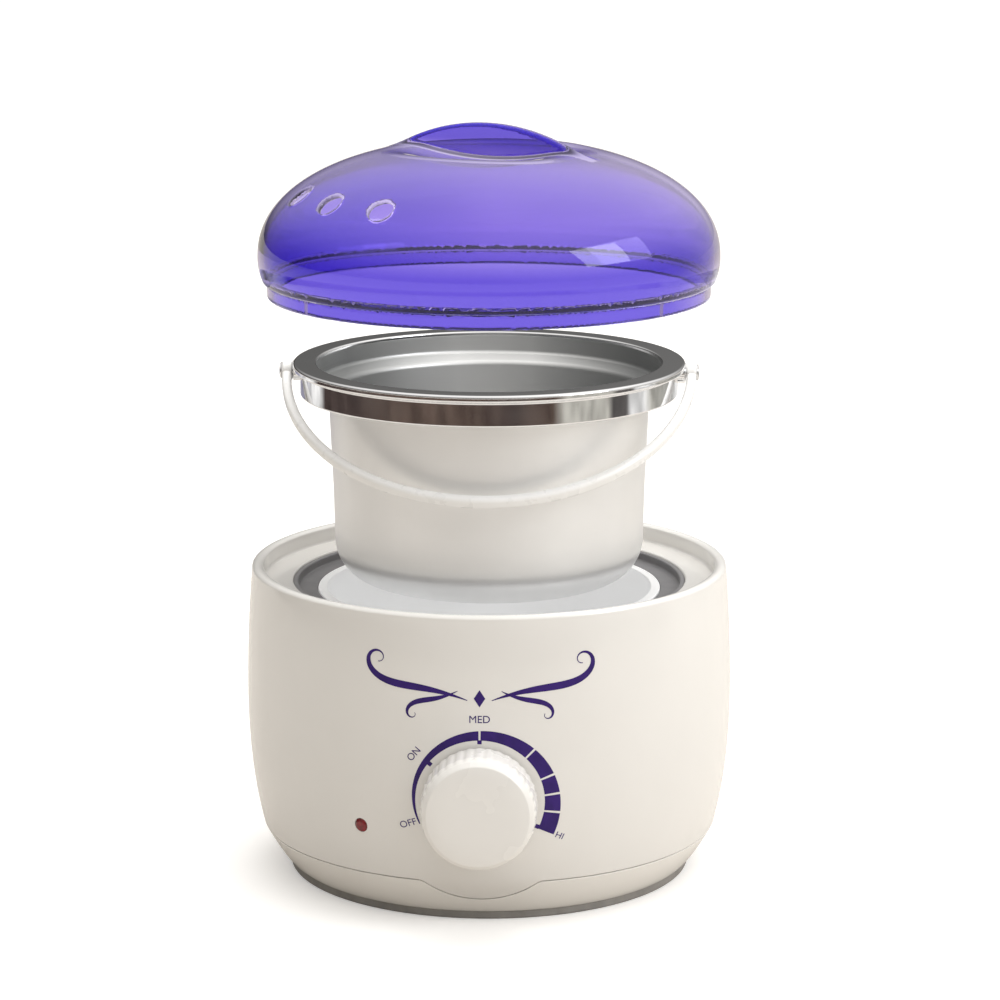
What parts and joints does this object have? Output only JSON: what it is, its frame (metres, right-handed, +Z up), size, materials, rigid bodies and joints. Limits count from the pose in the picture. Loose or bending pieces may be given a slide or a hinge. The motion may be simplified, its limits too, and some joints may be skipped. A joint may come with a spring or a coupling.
{
  "type": "wax warmer",
  "caption": "Round table-top wax warmer with a dial on its front, a lift-out pot with a swinging bail, and a see-through domed lid.",
  "frame": {"origin": "centre of the foot ring, on the surface that the warmer stands on", "axes": "+Z up along the axis of the well and the pot; the dial faces -Y, with +X to its right as a person sees it"},
  "size_m": [0.152, 0.1684, 0.234],
  "materials": {
    "housing_plastic": "glossy warm white moulded plastic",
    "cover_plastic": "glossy warm white moulded plastic",
    "foot_rubber": "matt grey rubber",
    "zinc_steel": "zinc plated",
    "collar_plastic": "satin grey heat-resistant plastic",
    "well_aluminium": "drawn satin aluminium",
    "heater_silicone": "orange silicone",
    "fuse_case": "glazed case",
    "thermostat_ceramic": "unglazed ceramic",
    "brass": "plain",
    "pilot_red": "clear red lens",
    "led_red": "moulded epoxy",
    "board_green": "solder mask",
    "terminal_plastic": "natural nylon",
    "lead_blue": "PVC insulation",
    "lead_red": "silicone insulation",
    "gland_rubber": "white rubber",
    "knob_plastic": "satin white moulded plastic",
    "pot_aluminium": "spun satin aluminium",
    "rim_chrome": "polished",
    "bail_white": "white powder coat",
    "lid_purple": "clear purple moulded plastic",
    "dial_print": "printed ink"
  },
  "bodies": {
    "base": {"housing": "housing_plastic", "bottom_cover": "cover_plastic", "foot_ring": "foot_rubber", "housing_screws": "zinc_steel", "well_collar": "collar_plastic", "heating_well": "well_aluminium", "well_bridge": "zinc_steel", "bridge_screws": "zinc_steel", "stud_nut": "zinc_steel", "heater_band": "heater_silicone", "heater_clamp": "zinc_steel", "clamp_screw": "zinc_steel", "thermal_fuse": "fuse_case", "fuse_clip": "zinc_steel", "thermostat_body": "thermostat_ceramic", "thermostat_nut": "brass", "indicator_lens": "pilot_red", "indicator_led": "led_red", "led_board": "board_green", "terminal_block": "terminal_plastic", "supply_leads": "lead_blue", "heater_leads": "lead_red", "cord_gland": "gland_rubber"},
    "control": {"knob": "knob_plastic", "knob_clip": "zinc_steel", "thermostat_shaft": "zinc_steel"},
    "contact": {"contact_arm": "brass"},
    "pot": {"pot_shell": "pot_aluminium", "pot_rim": "rim_chrome", "bail_ears": "rim_chrome"},
    "pivots": {"bail_pins": "rim_chrome"},
    "handle": {"bail": "bail_white"},
    "cover": {"lid": "lid_purple"}
  },
  "joints": [
    {"name": "pot_lift", "type": "slide", "parent": "base", "child": "pot", "axis": [0, 0, 1], "range_m": [-0.0614, 0.012]},
    {"name": "pins_settle", "type": "hinge", "parent": "pot", "child": "pivots", "pos_m": [0, 0, 0.1568], "axis": [-1, 0, 0], "range_deg": [-5.6, 28.1]},
    {"name": "bail_swing", "type": "hinge", "parent": "pivots", "child": "handle", "pos_m": [0, 0, 0.1568], "axis": [-1, 0, 0], "range_deg": [0, 236]},
    {"name": "lid_lift", "type": "slide", "parent": "pot", "child": "cover", "axis": [0, 0, 1], "range_m": [-0.0277, 0.06]},
    {"name": "knob_turn", "type": "hinge", "parent": "base", "child": "control", "pos_m": [0, -0.08, 0.0405], "axis": [0, 1, 0], "range_deg": [0, 229]},
    {"name": "contact_flex", "type": "hinge", "parent": "base", "child": "contact", "pos_m": [0.009, -0.064, 0.031], "axis": [0, 1, 0], "range_deg": [0, 4], "stiffness_Nm_per_rad": 0.02}
  ],
  "couplings": [
    {"joint": "pins_settle", "follows": "pot_lift", "rad_per_m": -7.9592}
  ]
}
